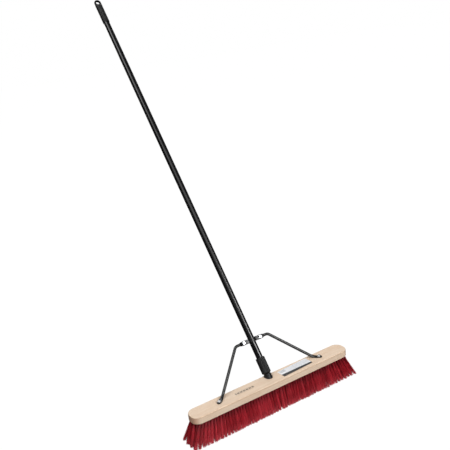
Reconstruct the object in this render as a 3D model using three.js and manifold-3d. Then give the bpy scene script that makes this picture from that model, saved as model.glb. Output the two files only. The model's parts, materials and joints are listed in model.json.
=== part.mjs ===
// Push broom: a wood block with seven rows of bristles, a steel handle that screws into the block
// at a slant, and a two-armed steel brace clamped round the handle and screwed to the block.
// Millimetres. Origin: centre of the sweeping face. +X along the block, -Y the front, +Z up,
// and the handle leans back towards +Y.
import * as THREE from "three";
import { mergeVertices } from "three/addons/utils/BufferGeometryUtils.js";
import Module from "manifold-3d";

const wasm = await Module();
wasm.setup();

// Wood block
const BLOCK_LENGTH = 610;
const BLOCK_WIDTH = 62;
const BLOCK_THICKNESS = 23;
const BLOCK_CORNER = 27; // plan radius of the four corners
const BLOCK_EDGE = 2.5; // rounding of the long edges

// Bristles
const TRIM = 76; // from the block's underside to the sweeping face
const ROWS = 7;
const ROW_SPACING = 8;
const ROW_THICKNESS = 5;
const ROW_INSET = 5; // from the outermost tufts to the block's edge
const TIP_REACH = 323; // half the length of the sweeping face, to which the end tufts lean out
const SIDE_FLARE = 13; // how far the front and back rows lean out at their tips
const TIP_THICKENING = 4; // a row is thicker at the tips than at the root
const TOP = TRIM + BLOCK_THICKNESS;

// Handle, placed by its own frame: z runs up the handle, y points to its underside
const TILT = THREE.MathUtils.degToRad(36.5); // from the vertical
const SOCKET_Y = 15; // where the handle's axis meets the top of the block
const TUBE_RADIUS = 11;
const TUBE_WALL = 1.1;
const TUBE_START = 34;
const HANDLE_END = 1530;

// Thread, a 3/4 inch broom thread of five turns to the inch
const PITCH = 5.08;
const THREAD_MINOR = 7.4;
const THREAD_MAJOR = 9.4;
const THREAD_START = -16;
const THREAD_TURNS = 3.5;
const THREAD_PLAY = 0.4;
const THREAD_SIDES = 16; // flat facets in one turn
const THREAD_ROOT = 0.5; // how deep a thread's ridge starts inside its core
const GROOVE_TURNS = 6;
const BORE_SPARE = 1.4; // room under the end of the screw
const SCREW_BORE = 4.4; // radius of the hollow through the screw

// Ferrule and the loose bevelled collar under it
const FERRULE_RADIUS = 15.4;
const FERRULE_RIBS = 24;
const RIB_DEPTH = 0.7;
const FERRULE_TOP = 67;
const FERRULE_BOTTOM = 10.6;
const FERRULE_CHAMFER = 4.5;
const FERRULE_FOOT = 12; // radius at the foot of the chamfer
const FERRULE_LIP = 0.8; // how far the rim is rounded in
const COLLAR_RADIUS = 12.4;
const COLLAR_BORE = 9.9;
const COLLAR_BLANK = 30; // the length below the block's top that is cut off at a slant

// Hanger cap
const CAP_RADIUS = 12.6;
const CAP_LENGTH = 104;
const CAP_DEPTH = 62; // how far the tube goes into it
const CAP_RIBS = 16;
const TAB_THICKNESS = 8;
const TAB_LENGTH = 26;
const SHOULDER_RISE = 6; // the sloped shoulder under the tab, above and below the tab's own length
const SHOULDER_FALL = 8;
const DOME_STEPS = 3;
const CAP_RIB_DEPTH = 0.5;
const CAP_LIP = 0.6;
const CAP_LIP_LENGTH = 3;
const HANGER_HOLE = 6.5; // radius

// Brace
const CLAMP_AT = 130; // along the handle
const STRAP_THICKNESS = 1.8;
const STRAP_WIDTH = 14;
const STRAP_REACH = 39.5;
const BOLT_X = 32.5;
const BOLT_RADIUS = 3;
const ROD_RADIUS = 4.8;
const FLAT_THICKNESS = 3;
const FLAT_WIDTH = 14;
const ARM_BEND_X = 64;
const FOOT_X = 199;
const FOOT_Y = -1.5;
const FOOT_BEND_BACK = 24; // from the foot screw to the bend above the foot
const FOOT_TIP = 10; // from the foot screw to the end of the foot
const BEND_REACH = 13; // how far a bend runs along the rod to each side
const FOOT_FLAT = 20; // length of the flattened foot behind its screw
const FOOT_SINK = 9; // how far the round rod runs into the foot
const EYE_FLAT = 14; // length of the flattened eye behind its bolt
const EYE_TIP = 8;
const EYE_SINK = 9;
const SEAT_ROOM = 1.5; // around the washer of a foot screw

// Fasteners
const HOLE_PLAY = 0.35;
const HEX_ACROSS = 10;
const BOLT_HEAD = 4;
const NUT_HEIGHT = 5;
const LOCK_WASHER = 1.6;
const SCREW_RADIUS = 2.2;
const SCREW_LENGTH = 18;
const SCREW_HEAD = 5;
const SCREW_HEAD_HEIGHT = 3.4;
const SCREW_HEAD_EDGE = 1.4;
const SCREW_POINT = 5;
const SCREW_SPARE = 1; // room under the point in the pilot hole
const SHANK_PAST_NUT = 2;
const FOOT_WASHER = 6;
const FOOT_WASHER_THICKNESS = 1;

// Label
const LABEL_LENGTH = 122;
const LABEL_WIDTH = 38;
const LABEL_X = 99;
const LABEL_Y = 4;
const LABEL_THICKNESS = 0.4;

const GAP = 0.3; // between pieces that touch
const PAST = 1; // how far a cutting shape runs past the face that it cuts
const BEYOND = 20; // half the size of a cutting shape that only has to be larger than the piece

const WOOD = { color: 0xe3cdb0, roughness: 0.6, metalness: 0 };
const RED = { color: 0x9c1a26, roughness: 0.5, metalness: 0 };
const BLACK_STEEL = { color: 0x17181a, roughness: 0.35, metalness: 0 };
const BLACK_PLASTIC = { color: 0x1c1c1d, roughness: 0.6, metalness: 0 };
const ZINC = { color: 0xc9ccd0, roughness: 0.3, metalness: 1 };
const PAPER = { color: 0xe9eaec, roughness: 0.7, metalness: 0 };

// A closed geometry as a solid that can be joined and cut.
function solid(geometry) {
  const bare = geometry.clone();
  bare.deleteAttribute("normal");
  bare.deleteAttribute("uv");
  const merged = mergeVertices(bare, 1e-4);
  return new wasm.Manifold(
    new wasm.Mesh({
      numProp: 3,
      vertProperties: merged.attributes.position.array,
      triVerts: new Uint32Array(merged.index.array),
    }),
  );
}

function geometryOf(made) {
  const result = made.getMesh();
  const geometry = new THREE.BufferGeometry();
  geometry.setAttribute("position", new THREE.BufferAttribute(result.vertProperties, 3));
  geometry.setIndex(new THREE.BufferAttribute(result.triVerts, 1));
  return geometry;
}

function cut(body, ...tools) {
  return geometryOf(tools.reduce((left, tool) => left.subtract(solid(tool)), solid(body)));
}

function join(body, ...others) {
  return geometryOf(others.reduce((sum, other) => sum.add(solid(other)), solid(body)));
}

function piece(name, geometry, look, group) {
  const mesh = new THREE.Mesh(geometry, new THREE.MeshStandardMaterial(look));
  mesh.name = name;
  group.add(mesh);
  return mesh;
}

function extrude(shape, depth, segments = 12) {
  return new THREE.ExtrudeGeometry(shape, { depth, bevelEnabled: false, curveSegments: segments });
}

function circle(radius) {
  return new THREE.Shape().absarc(0, 0, radius, 0, 2 * Math.PI, false);
}

// A round bar along z from one height to another.
function bar(radius, from, to, segments = 24) {
  const geometry = new THREE.CylinderGeometry(radius, radius, to - from, segments);
  return geometry.rotateX(Math.PI / 2).translate(0, 0, (from + to) / 2);
}

// A turned piece about z, from a closed profile of [radius, height] pairs.
function turned(profile, segments = 24) {
  const points = profile.map(([radius, height]) => new THREE.Vector2(radius, height));
  return new THREE.LatheGeometry(points, segments).rotateX(Math.PI / 2);
}

function ring(inner, outer, from, to, segments = 24) {
  return turned([[inner, from], [outer, from], [outer, to], [inner, to], [inner, from]], segments);
}

function roundedRectangle(length, width, corner) {
  const x = length / 2 - corner;
  const y = width / 2 - corner;
  return new THREE.Shape()
    .absarc(x, y, corner, 0, Math.PI / 2, false)
    .absarc(-x, y, corner, Math.PI / 2, Math.PI, false)
    .absarc(-x, -y, corner, Math.PI, 1.5 * Math.PI, false)
    .absarc(x, -y, corner, 1.5 * Math.PI, 2 * Math.PI, false);
}

// The outline of a round piece with lengthwise ribs.
function ribbedOutline(radius, depth, ribs) {
  const points = [];
  for (let i = 0; i < ribs; i++) {
    [[0, radius], [0.5, radius], [0.62, radius - depth], [0.88, radius - depth]].forEach(([part, r]) => {
      const angle = ((i + part) / ribs) * 2 * Math.PI;
      points.push(new THREE.Vector2(r * Math.cos(angle), r * Math.sin(angle)));
    });
  }
  return new THREE.Shape(points);
}

// A right-hand thread's ridge about z, from one radius to another: a section that narrows outwards,
// swept up a helix. Its start is given in whole turns before the screw's own first thread, so that
// a groove cut with it stays in mesh with the screw.
function ridge(inner, outer, turns, turnsBefore, play) {
  const start = THREAD_START + PITCH / 2 - turnsBefore * PITCH;
  const root = PITCH * 0.3 + play;
  const crest = PITCH * 0.16 + play;
  const section = [[inner, -root], [outer, -crest], [outer, crest], [inner, root]];
  const corners = section.length;
  const steps = turns * THREAD_SIDES;
  const places = [];
  for (let i = 0; i <= steps; i++) {
    const angle = (2 * Math.PI * i) / THREAD_SIDES;
    const height = start + (PITCH * i) / THREAD_SIDES;
    section.forEach(([radius, up]) => {
      places.push(radius * Math.cos(angle), radius * Math.sin(angle), height + up);
    });
  }
  const faces = [];
  for (let i = 0; i < steps; i++) {
    for (let j = 0; j < corners; j++) {
      const here = i * corners + j;
      const next = i * corners + ((j + 1) % corners);
      faces.push(here, here + corners, next, next, here + corners, next + corners);
    }
  }
  const last = steps * corners;
  faces.push(0, 1, 2, 0, 2, 3, last, last + 2, last + 1, last, last + 3, last + 2);
  const geometry = new THREE.BufferGeometry();
  geometry.setAttribute("position", new THREE.Float32BufferAttribute(places, 3));
  geometry.setIndex(faces);
  return geometry;
}

const broom = new THREE.Group();
const handleFrame = new THREE.Group();
handleFrame.position.set(0, SOCKET_Y, TOP);
handleFrame.rotation.x = -TILT;
broom.add(handleFrame);
handleFrame.updateMatrix();

// Moves a geometry drawn in the handle's frame into the object's frame, or back.
const toObject = (geometry) => geometry.applyMatrix4(handleFrame.matrix);
const toHandle = (geometry) => geometry.applyMatrix4(handleFrame.matrix.clone().invert());

function woodBlock() {
  const inset = 2 * BLOCK_EDGE;
  const outline = roundedRectangle(BLOCK_LENGTH - inset, BLOCK_WIDTH - inset, BLOCK_CORNER - BLOCK_EDGE);
  const blank = new THREE.ExtrudeGeometry(outline, {
    depth: BLOCK_THICKNESS - inset,
    bevelThickness: BLOCK_EDGE,
    bevelSize: BLOCK_EDGE,
    bevelSegments: 2,
    curveSegments: 8,
  }).translate(0, 0, TRIM + BLOCK_EDGE);
  const bore = toObject(bar(THREAD_MINOR + THREAD_PLAY, THREAD_START - BORE_SPARE, BEYOND));
  const crest = THREAD_MAJOR + THREAD_PLAY;
  const thread = toObject(ridge(THREAD_MINOR - THREAD_ROOT, crest, GROOVE_TURNS, 1, THREAD_PLAY));
  const pilots = [-1, 1].map((side) =>
    bar(SCREW_RADIUS + GAP, TOP - SCREW_LENGTH, TOP + PAST, 12).translate(side * FOOT_X, FOOT_Y, 0),
  );
  piece("wood_block", cut(blank, bore, thread, ...pilots), WOOD, broom);
}

// Half the length of a row whose roots lie y off the block's centre line.
function rowReach(y) {
  const corner = BLOCK_CORNER - ROW_INSET;
  const past = Math.max(0, Math.abs(y) - (BLOCK_WIDTH / 2 - BLOCK_CORNER));
  return BLOCK_LENGTH / 2 - BLOCK_CORNER + Math.sqrt(corner ** 2 - past ** 2);
}

function bristleRows() {
  const middle = (ROWS - 1) / 2;
  for (let i = 0; i < ROWS; i++) {
    const rootY = (i - middle) * ROW_SPACING;
    const tipY = rootY * (1 + SIDE_FLARE / (middle * ROW_SPACING));
    const reach = rowReach(rootY);
    // Drawn as a side view, then thickened and leaned out.
    const side = new THREE.Shape([
      new THREE.Vector2(-TIP_REACH, 0),
      new THREE.Vector2(TIP_REACH, 0),
      new THREE.Vector2(reach, TRIM - GAP),
      new THREE.Vector2(-reach, TRIM - GAP),
    ]);
    const row = extrude(side, 1).rotateX(Math.PI / 2);
    const place = row.attributes.position;
    for (let v = 0; v < place.count; v++) {
      const atTip = 1 - place.getZ(v) / TRIM;
      const across = place.getY(v) + 0.5;
      const thickness = ROW_THICKNESS + TIP_THICKENING * atTip;
      place.setY(v, rootY + (tipY - rootY) * atTip + across * thickness);
    }
    piece(`bristle_row_${i + 1}`, row, RED, broom);
  }
}

function ferrule() {
  const ribs = ribbedOutline(FERRULE_RADIUS, RIB_DEPTH, FERRULE_RIBS);
  const shell = extrude(ribs, FERRULE_TOP - FERRULE_BOTTOM).translate(0, 0, FERRULE_BOTTOM);
  const slope = (FERRULE_RADIUS - FERRULE_FOOT) / FERRULE_CHAMFER;
  const chamfer = turned([
    [0, FERRULE_BOTTOM],
    [FERRULE_FOOT, FERRULE_BOTTOM],
    [FERRULE_RADIUS + PAST, FERRULE_BOTTOM + FERRULE_CHAMFER + PAST / slope],
    [FERRULE_RADIUS + PAST, FERRULE_TOP - PAST],
    [FERRULE_RADIUS - FERRULE_LIP, FERRULE_TOP],
    [0, FERRULE_TOP],
  ], 48);
  const outside = geometryOf(solid(shell).intersect(solid(chamfer)));
  const stub = bar(THREAD_MINOR, THREAD_START, FERRULE_BOTTOM + PAST);
  const thread = ridge(THREAD_MINOR - THREAD_ROOT, THREAD_MAJOR, THREAD_TURNS, 0, 0);
  const socket = bar(TUBE_RADIUS + GAP, TUBE_START - GAP, FERRULE_TOP + PAST, 32);
  const core = bar(SCREW_BORE, THREAD_START - PAST, TUBE_START, 16);
  piece("ferrule", cut(join(outside, stub, thread), socket, core), BLACK_PLASTIC, handleFrame);
}

function collar() {
  const blank = bar(COLLAR_RADIUS, -COLLAR_BLANK, FERRULE_BOTTOM - GAP, 32);
  const bore = bar(COLLAR_BORE, -COLLAR_BLANK - PAST, FERRULE_BOTTOM, 32);
  // Everything below the top of the block is cut away, which leaves the collar's bevelled foot.
  const side = 4 * BEYOND;
  const below = new THREE.BoxGeometry(side, side, side).translate(0, 0, TOP + GAP - side / 2);
  piece("foot_collar", cut(blank, bore, toHandle(below)), BLACK_PLASTIC, handleFrame);
}

function handleTube() {
  const end = HANDLE_END - CAP_LENGTH + CAP_DEPTH;
  const tube = ring(TUBE_RADIUS - TUBE_WALL, TUBE_RADIUS, TUBE_START, end - GAP, 32);
  piece("handle_tube", tube, BLACK_STEEL, handleFrame);
}

function hangerCap() {
  const start = HANDLE_END - CAP_LENGTH;
  const ribs = ribbedOutline(CAP_RADIUS, CAP_RIB_DEPTH, CAP_RIBS);
  const shell = extrude(ribs, CAP_LENGTH).translate(0, 0, start);
  const profile = [
    [0, start],
    [CAP_RADIUS - CAP_LIP, start],
    [CAP_RADIUS + PAST, start + CAP_LIP_LENGTH],
    [CAP_RADIUS + PAST, HANDLE_END - CAP_RADIUS],
  ];
  for (let i = 1; i < DOME_STEPS; i++) {
    const angle = (i / DOME_STEPS) * (Math.PI / 2);
    profile.push([CAP_RADIUS * Math.cos(angle), HANDLE_END - CAP_RADIUS * (1 - Math.sin(angle))]);
  }
  profile.push([0, HANDLE_END]);
  const whole = geometryOf(solid(shell).intersect(solid(turned(profile, 32))));
  const socket = bar(TUBE_RADIUS + GAP, start - PAST, start + CAP_DEPTH, 32);
  const hole = bar(HANGER_HOLE, -BEYOND, BEYOND, 24).rotateX(Math.PI / 2);
  hole.translate(0, 0, HANDLE_END - CAP_RADIUS);
  // The two cheeks that leave a flat tab, with a sloped shoulder below it.
  const cheeks = [-1, 1].map((side) => {
    const away = TAB_THICKNESS / 2;
    const foot = HANDLE_END - TAB_LENGTH;
    const shape = new THREE.Shape([
      new THREE.Vector2(side * away, foot + SHOULDER_RISE),
      new THREE.Vector2(side * away, HANDLE_END + PAST),
      new THREE.Vector2(side * BEYOND, HANDLE_END + PAST),
      new THREE.Vector2(side * BEYOND, foot - SHOULDER_FALL),
    ]);
    const cheek = extrude(shape, 2 * BEYOND);
    return cheek.rotateX(Math.PI / 2).rotateZ(Math.PI / 2).translate(-BEYOND, 0, 0);
  });
  piece("hanger_cap", cut(whole, socket, hole, ...cheeks), BLACK_PLASTIC, handleFrame);
}

// One of the two halves of the clamp: flanges at both sides and a half-round over the tube.
function clampStrap(name, side) {
  const inner = TUBE_RADIUS + GAP;
  const outer = inner + STRAP_THICKNESS;
  const near = FLAT_THICKNESS / 2 + GAP;
  const far = near + STRAP_THICKNESS;
  const innerAngle = Math.asin(near / inner);
  const outerAngle = Math.asin(far / outer);
  const shape = new THREE.Shape()
    .moveTo(STRAP_REACH, near)
    .lineTo(STRAP_REACH, far)
    .absarc(0, 0, outer, outerAngle, Math.PI - outerAngle, false)
    .lineTo(-STRAP_REACH, far)
    .lineTo(-STRAP_REACH, near)
    .absarc(0, 0, inner, Math.PI - innerAngle, innerAngle, true);
  const strap = extrude(shape, STRAP_WIDTH, 14).translate(0, 0, CLAMP_AT - STRAP_WIDTH / 2);
  const holes = [-1, 1].map((end) =>
    bar(BOLT_RADIUS + HOLE_PLAY, near - PAST, far + PAST, 16)
      .rotateX(-Math.PI / 2)
      .translate(end * BOLT_X, 0, CLAMP_AT),
  );
  const finished = cut(strap, ...holes);
  if (side < 0) finished.rotateZ(Math.PI);
  piece(name, finished, BLACK_STEEL, handleFrame);
}

// A flattened rod end: a bar with one round end and a hole near it. It lies along +x.
function flatEnd(length, tip, hole) {
  const half = FLAT_WIDTH / 2;
  const shape = new THREE.Shape()
    .moveTo(-length, -half)
    .lineTo(tip - half, -half)
    .absarc(tip - half, 0, half, -Math.PI / 2, Math.PI / 2, false)
    .lineTo(-length, half);
  const plate = extrude(shape, FLAT_THICKNESS, 8).translate(0, 0, -FLAT_THICKNESS / 2);
  return cut(plate, bar(hole, -FLAT_THICKNESS, FLAT_THICKNESS, 16));
}

// A round rod through the given points, bent smoothly at those in between.
function rodAlong(points) {
  const path = new THREE.CurvePath();
  const towards = (point, other) => point.clone().lerp(other, BEND_REACH / point.distanceTo(other));
  let from = points[0];
  for (let i = 1; i < points.length - 1; i++) {
    const before = towards(points[i], points[i - 1]);
    const after = towards(points[i], points[i + 1]);
    path.add(new THREE.LineCurve3(from, before));
    path.add(new THREE.QuadraticBezierCurve3(before, points[i], after));
    from = after;
  }
  path.add(new THREE.LineCurve3(from, points[points.length - 1]));
  const options = { extrudePath: path, steps: 32, curveSegments: 6 };
  return new THREE.ExtrudeGeometry(circle(ROD_RADIUS), options);
}

function braceArm(name, side) {
  const fromHandle = (x, y, z) => new THREE.Vector3(x, y, z).applyMatrix4(handleFrame.matrix);
  const bend = fromHandle(ARM_BEND_X, 0, CLAMP_AT);
  const foot = new THREE.Vector3(FOOT_X, FOOT_Y, TOP + GAP + FLAT_THICKNESS / 2);
  const plan = foot.clone().sub(bend).setZ(0).normalize();
  const footBend = foot.clone().addScaledVector(plan, -FOOT_BEND_BACK);
  footBend.z = TOP + GAP + ROD_RADIUS;
  const footEnd = foot.clone().addScaledVector(plan, -FOOT_SINK);
  footEnd.z = footBend.z;
  const start = fromHandle(BOLT_X + EYE_SINK, 0, CLAMP_AT);
  const rod = rodAlong([start, bend, footBend, footEnd]);
  const eye = toObject(
    flatEnd(EYE_FLAT, EYE_TIP, BOLT_RADIUS + HOLE_PLAY)
      .rotateX(Math.PI / 2)
      .rotateZ(Math.PI)
      .translate(BOLT_X, 0, CLAMP_AT),
  );
  const flatFoot = flatEnd(FOOT_FLAT, FOOT_TIP, SCREW_RADIUS + HOLE_PLAY)
    .rotateZ(Math.atan2(plan.y, plan.x))
    .translate(foot.x, foot.y, foot.z);
  // The rod is pressed down to the flat's thickness where the screw head needs room.
  const room = bar(FOOT_WASHER + SEAT_ROOM, FLAT_THICKNESS / 2, BEYOND, 24);
  const arm = cut(join(rod, flatFoot, eye), room.translate(foot.x, foot.y, foot.z));
  if (side < 0) arm.scale(-1, 1, 1).index.array.reverse();
  piece(name, arm, BLACK_STEEL, broom);
}

function hexPrism(across, from, to) {
  return bar(across / Math.sqrt(3), from, to, 6);
}

function clampFasteners(label, side) {
  const face = FLAT_THICKNESS / 2 + GAP + STRAP_THICKNESS + GAP;
  const nutFace = face + LOCK_WASHER + GAP;
  const place = (mesh) => {
    mesh.position.set(side * BOLT_X, 0, CLAMP_AT);
    mesh.rotation.x = -Math.PI / 2;
  };
  const shank = bar(BOLT_RADIUS, -face - PAST, nutFace + NUT_HEIGHT + SHANK_PAST_NUT, 16);
  const head = hexPrism(HEX_ACROSS, -face - BOLT_HEAD, -face);
  place(piece(`clamp_bolt_${label}`, join(head, shank), ZINC, handleFrame));
  const washer = ring(BOLT_RADIUS + HOLE_PLAY, HEX_ACROSS / 2, face, face + LOCK_WASHER, 16);
  place(piece(`clamp_washer_${label}`, washer, ZINC, handleFrame));
  const thread = bar(BOLT_RADIUS + HOLE_PLAY, nutFace - PAST, nutFace + NUT_HEIGHT + PAST, 16);
  const nut = cut(hexPrism(HEX_ACROSS, nutFace, nutFace + NUT_HEIGHT), thread);
  place(piece(`clamp_nut_${label}`, nut, ZINC, handleFrame));
}

function footFasteners(label, side) {
  const plateTop = TOP + GAP + FLAT_THICKNESS;
  const washerTop = plateTop + GAP + FOOT_WASHER_THICKNESS;
  const seat = washerTop + GAP;
  const point = TOP - SCREW_LENGTH + SCREW_SPARE;
  const washer = ring(SCREW_RADIUS + HOLE_PLAY, FOOT_WASHER, plateTop + GAP, washerTop, 24);
  piece(`foot_washer_${label}`, washer, ZINC, broom).position.set(side * FOOT_X, FOOT_Y, 0);
  const screw = turned([
    [0, point],
    [SCREW_RADIUS, point + SCREW_POINT],
    [SCREW_RADIUS, seat],
    [SCREW_HEAD, seat],
    [SCREW_HEAD, seat + SCREW_HEAD_EDGE],
    [SCREW_HEAD * 0.8, seat + SCREW_HEAD_HEIGHT * 0.8],
    [SCREW_HEAD * 0.4, seat + SCREW_HEAD_HEIGHT],
    [0, seat + SCREW_HEAD_HEIGHT],
  ], 20);
  piece(`foot_screw_${label}`, screw, ZINC, broom).position.set(side * FOOT_X, FOOT_Y, 0);
}

function paperLabel() {
  const label = extrude(roundedRectangle(LABEL_LENGTH, LABEL_WIDTH, 2), LABEL_THICKNESS, 3);
  piece("paper_label", label, PAPER, broom).position.set(LABEL_X, LABEL_Y, TOP + GAP);
}

woodBlock();
bristleRows();
ferrule();
collar();
handleTube();
hangerCap();
clampStrap("clamp_strap_front", -1);
clampStrap("clamp_strap_rear", 1);
[["left", -1], ["right", 1]].forEach(([label, side]) => {
  braceArm(`brace_arm_${label}`, side);
  clampFasteners(label, side);
  footFasteners(label, side);
});
paperLabel();

export default broom;
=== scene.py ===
"""A push broom: a beech block with seven rows of red bristles, a black steel handle that screws
into the block at a slant, and a two-armed steel brace clamped round the handle.

Metres, +Z up, the origin at the centre of the sweeping face, -Y the front. Sizes that belong to
the object's structure come from the frame; sizes of the finer shapes are named here in millimetres.
"""

import json
import math

import bmesh
import bpy
from mathutils import Matrix, Quaternion, Vector


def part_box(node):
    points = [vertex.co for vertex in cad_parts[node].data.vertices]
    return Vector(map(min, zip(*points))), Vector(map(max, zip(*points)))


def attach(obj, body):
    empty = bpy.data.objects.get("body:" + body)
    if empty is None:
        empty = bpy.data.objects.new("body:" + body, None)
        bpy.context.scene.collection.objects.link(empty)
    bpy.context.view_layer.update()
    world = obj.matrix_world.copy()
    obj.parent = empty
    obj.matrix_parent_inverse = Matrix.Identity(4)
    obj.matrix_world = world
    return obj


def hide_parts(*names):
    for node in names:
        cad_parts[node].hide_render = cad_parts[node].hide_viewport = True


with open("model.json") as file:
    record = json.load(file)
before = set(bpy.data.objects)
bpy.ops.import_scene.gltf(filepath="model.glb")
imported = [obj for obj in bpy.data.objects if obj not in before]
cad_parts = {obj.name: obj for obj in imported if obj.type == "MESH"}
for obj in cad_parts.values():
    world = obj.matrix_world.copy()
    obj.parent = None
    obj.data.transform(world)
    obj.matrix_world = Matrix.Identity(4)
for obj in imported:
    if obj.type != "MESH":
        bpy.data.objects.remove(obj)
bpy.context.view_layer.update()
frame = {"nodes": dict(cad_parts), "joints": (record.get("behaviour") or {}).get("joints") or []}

MM = 0.001
FULL_TURN = 2 * math.pi

# Camera, seen from the middle of the block's top
CAMERA_FROM_BLOCK = Vector((-1.0380, -1.6267, 1.1639))
CAMERA_AZIMUTH = -30.0
CAMERA_ELEVATION = 18.0
CAMERA_ROLL = -7.23
CAMERA_LENS = 54.3

# Brightness of the air round the studio, as the broom sees it, and how far off the lights stand
AIR = 0.04
LIGHT_DISTANCE = 6.0

# Wood block
EDGE_ROUNDING = 2.5 * MM
CORNER_RADIUS = 27 * MM
CORNER_STEPS = 14
ROUNDING_STEPS = 5

# Bristles
TUFT_SPACING = 10.3 * MM
FILAMENTS_IN_TUFT = 50
TUFT_RADIUS = 2.5 * MM
TUFT_SPREAD = 5.3 * MM  # radius of a tuft at its tips
FILAMENT_RADIUS = 0.4 * MM
FILAMENT_SIDES = 4
FILAMENT_STEPS = 4
FILAMENT_BOWS = (-2.2 * MM, 0.8 * MM, 2.6 * MM)
FLARE_POWER = 4  # the ends of a row flare, and its middle stands straight
TRIM_WANDER = 2 * MM  # how unevenly the tips are cut
PARTING_AT = 7 * MM  # where one tuft of the front row is missing
PARTING_WIDTH = 13 * MM
PARTING_FADE = 14 * MM  # how far from the parting its neighbours still lean
PARTING_LEAN = 0.55
ROOT_DEPTH = 1.5 * MM
END_PLAY = 3.5 * MM  # how far the last tufts stay inside the sweep's ends

# Thread of the ferrule, five turns to the inch
PITCH = 5.08 * MM
THREAD_MINOR = 7.4 * MM
THREAD_MAJOR = 9.4 * MM
THREAD_PLAY = 0.4 * MM
THREAD_ROWS = 12  # rings of points in one turn

# Ferrule, collar and hanger cap
FERRULE_RIBS = 24
FERRULE_RIB_DEPTH = 0.75 * MM
FERRULE_FOOT = 10.6 * MM
FERRULE_CHAMFER = 4.5 * MM
SCREW_BORE = 4.4 * MM
CAP_RIBS = 16
CAP_RIB_DEPTH = 0.6 * MM
TAB_THICKNESS = 8 * MM
TAB_LENGTH = 26 * MM
HANGER_HOLE = 6.5 * MM
CAP_DEPTH = 62 * MM
TUBE_WALL = 1.1 * MM

# Brace
STRAP_THICKNESS = 1.8 * MM
FLAT_THICKNESS = 3 * MM
FLAT_WIDTH = 14 * MM
ROD_RADIUS = 4.8 * MM
BEND_REACH = 8 * MM
ARM_BEND_X = 64 * MM
EYE_TIP = 8 * MM
FOOT_BEND_BACK = 24 * MM
FOOT_LANDING = 11 * MM  # where the foot lies flat, behind its screw
FOOT_TIP = 10 * MM
EYE_FLAT = 15 * MM
FOOT_FLAT = 17 * MM
SQUEEZE = 10 * MM  # length over which the round rod turns flat
BOLT_RADIUS = 3 * MM
BOLT_PITCH = 1 * MM
BOLT_HEAD = 4 * MM
HEX_ACROSS = 10 * MM
HEX_CORNER = HEX_ACROSS / math.sqrt(3)
HEX_FACE = HEX_ACROSS / 2 + 0.1 * MM  # radius of the round face that the corners are turned down to
SCREW_RADIUS = 2.2 * MM
SCREW_PITCH = 1.8 * MM
HOLE_PLAY = 0.35 * MM


def handle_frame():
    """The handle's own frame: z up the handle, x along the block, y to the handle's underside."""
    turn = next(joint for joint in frame["joints"] if joint["name"] == "handle_turn")
    up = Vector(turn["axis"]).normalized()
    across = Vector((1, 0, 0))
    matrix = Matrix((across, up.cross(across), up)).transposed().to_4x4()
    matrix.translation = turn["pos_m"]
    return matrix


HANDLE = handle_frame()


def extent(node, place=Matrix()):
    """Lowest and highest corner of a CAD node in the frame that a matrix places."""
    inverse = place.inverted()
    points = [inverse @ vertex.co for vertex in frame["nodes"][node].data.vertices]
    corners = [[pick(point[i] for point in points) for i in range(3)] for pick in (min, max)]
    return Vector(corners[0]), Vector(corners[1])


BLOCK_LOW, BLOCK_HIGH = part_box("wood_block")
TOP = BLOCK_HIGH.z
UNDERSIDE = BLOCK_LOW.z


# ---------------------------------------------------------------- nodes and colours

def colour(code):
    """An sRGB hex colour as the linear values that a socket takes."""
    parts = [int(code[i:i + 2], 16) / 255 for i in (1, 3, 5)]
    return (*[p / 12.92 if p <= 0.04045 else ((p + 0.055) / 1.055) ** 2.4 for p in parts], 1.0)


def feed(tree, socket, value):
    """Gives a socket a constant, or links it to a socket or to a node's first output."""
    if isinstance(value, bpy.types.Node):
        value = next(output for output in value.outputs if output.enabled)
    if isinstance(value, bpy.types.NodeSocket):
        tree.links.new(value, socket)
    else:
        socket.default_value = value


def wire(tree, node, **inputs):
    """Feeds a node's inputs by name, with _ for a space."""
    for name, value in inputs.items():
        feed(tree, next(s for s in node.inputs if s.enabled and s.name == name.replace("_", " ")), value)


def add(tree, kind, *inputs, **settings):
    """Adds a node, named without its family. A second word in kind is its operation, interpolation
    or data type. inputs feed its inputs in order. Among the settings, stops are the colours of a
    ramp, small letters mean a property, and the others are inputs by name."""
    kind, _, variant = kind.partition(" ")
    families = ("ShaderNode", "GeometryNode", "FunctionNode", "")
    node = tree.nodes.new(next(f + kind for f in families if hasattr(bpy.types, f + kind)))
    if variant:
        names = ("operation", "interpolation_type", "data_type")
        setattr(node, next(name for name in names if hasattr(node, name)), variant)
    for i, (place, code) in enumerate(settings.pop("stops", ())):
        elements = node.color_ramp.elements
        element = elements[i] if i < 2 else elements.new(place)
        element.position, element.color = place, colour(code)
    for name in [name for name in settings if name.islower()]:
        setattr(node, name, settings.pop(name))
    for socket, value in zip([s for s in node.inputs if s.enabled], inputs):
        feed(tree, socket, value)
    wire(tree, node, **settings)
    return node


def new_material(name, **constants):
    """A material with a principled shader, and its tree and shader to build on."""
    material = bpy.data.materials.new(name)
    material.use_nodes = True
    tree = material.node_tree
    shader = tree.nodes["Principled BSDF"]
    wire(tree, shader, **constants)
    return material, tree, shader


def object_place(tree, stretch=(1, 1, 1), seen_from=Matrix()):
    """Object coordinates in the frame that a matrix places, divided by stretch."""
    place = add(tree, "TexCoord").outputs["Object"]
    local = add(tree, "Mapping", place, vector_type="TEXTURE",
                Location=seen_from.translation, Rotation=seen_from.to_euler())
    return add(tree, "Mapping", local, Scale=[1 / s for s in stretch])


# ---------------------------------------------------------------- materials

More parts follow.
